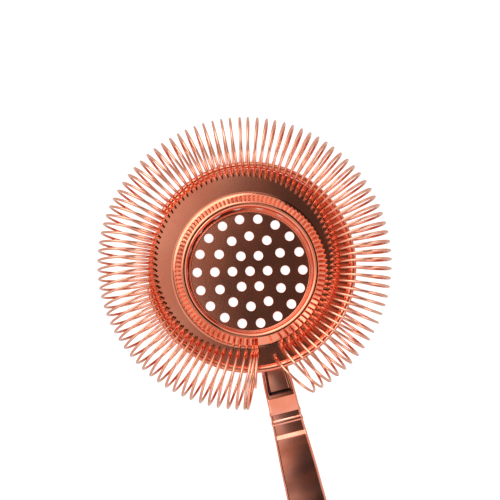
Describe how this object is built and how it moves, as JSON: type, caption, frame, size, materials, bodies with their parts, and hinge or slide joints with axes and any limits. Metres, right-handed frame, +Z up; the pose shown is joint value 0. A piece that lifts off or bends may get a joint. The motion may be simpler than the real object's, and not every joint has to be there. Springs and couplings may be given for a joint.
{
  "type": "hawthorne strainer",
  "caption": "Hawthorne cocktail strainer: dished perforated disc with a coil spring laced round its rim, an open wire ring inside the coils and a flat bar handle.",
  "frame": {"origin": "on the disc's axis, in the flat back of its floor, which is the face it lies on", "axes": "+Z up through the spring side, handle along -Y, +X to the right seen with the handle towards the viewer"},
  "size_m": [0.0891, 0.1572, 0.0235],
  "materials": {
    "polished_copper_sheet": "polished copper plating on steel sheet",
    "brushed_copper_bar": "copper plating on flat steel bar, finely brushed across",
    "polished_copper_ring": "polished copper plating on round wire",
    "copper_spring_wire": "polished copper plating on spring wire"
  },
  "bodies": {
    "strainer": {"strainer_plate": "polished_copper_sheet", "handle": "brushed_copper_bar", "support_ring": "polished_copper_ring"},
    "spring": {"coil_spring": "copper_spring_wire"}
  },
  "joints": [
    {"name": "spring_squeeze", "type": "slide", "parent": "strainer", "child": "spring", "axis": [0, -1, 0], "range_m": [0, 0.004], "stiffness_N_per_m": 300, "deforming": ["coil_spring"]}
  ]
}
